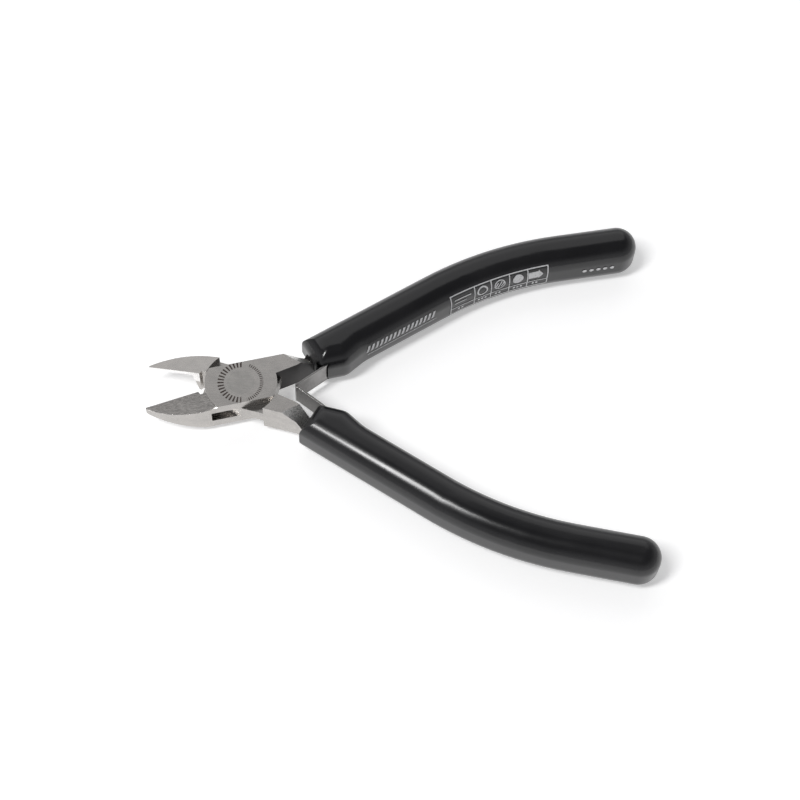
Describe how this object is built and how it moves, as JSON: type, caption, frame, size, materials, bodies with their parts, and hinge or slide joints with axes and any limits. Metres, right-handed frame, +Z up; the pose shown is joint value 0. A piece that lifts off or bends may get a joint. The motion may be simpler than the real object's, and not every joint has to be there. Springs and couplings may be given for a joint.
{
  "type": "flush cutter",
  "caption": "Small flush cutter for electronics: box-jointed steel jaws for snipping leads close to a board, two leaf springs and two dipped soft grips",
  "frame": {"origin": "on the pivot's axis, in the plane of the joint's underside", "axes": "-X towards the jaws' tips, +X towards the grips, +Z up out of the flush face as the tool lies on a bench"},
  "size_m": [0.121, 0.0962, 0.012],
  "materials": {
    "forged_steel": "satin ground faces over forged flanks",
    "ground_steel": "fine ground",
    "spring_steel": "tempered strip, lightly brushed",
    "dipped_vinyl": "smooth glossy dip coating"
  },
  "bodies": {
    "outer": {"outer_arm": "forged_steel", "pivot_rivet": "ground_steel", "outer_grip": "dipped_vinyl", "outer_spring_pin": "ground_steel"},
    "inner": {"inner_arm": "forged_steel", "inner_grip": "dipped_vinyl", "inner_spring_pin": "ground_steel"},
    "outer_leaf": {"outer_spring_leaf": "spring_steel"},
    "inner_leaf": {"inner_spring_leaf": "spring_steel"}
  },
  "joints": [
    {"name": "pivot", "type": "hinge", "parent": "outer", "child": "inner", "pos_m": [0, 0, 0.0044], "axis": [0, 0, 1], "range_deg": [0, 27.8], "stiffness_Nm_per_rad": 0.2, "springref_deg": -28.65},
    {"name": "outer_leaf_bend", "type": "hinge", "parent": "outer", "child": "outer_leaf", "pos_m": [0.02285, 0.00967, 0.0044], "axis": [0, 0, 1], "range_deg": [-16.5, 0]},
    {"name": "inner_leaf_bend", "type": "hinge", "parent": "inner", "child": "inner_leaf", "pos_m": [0.02285, -0.00967, 0.0044], "axis": [0, 0, 1], "range_deg": [0, 16.5]}
  ],
  "couplings": [
    {"joint": "outer_leaf_bend", "follows": "pivot", "ratio": -0.5755},
    {"joint": "inner_leaf_bend", "follows": "pivot", "ratio": 0.5755}
  ]
}
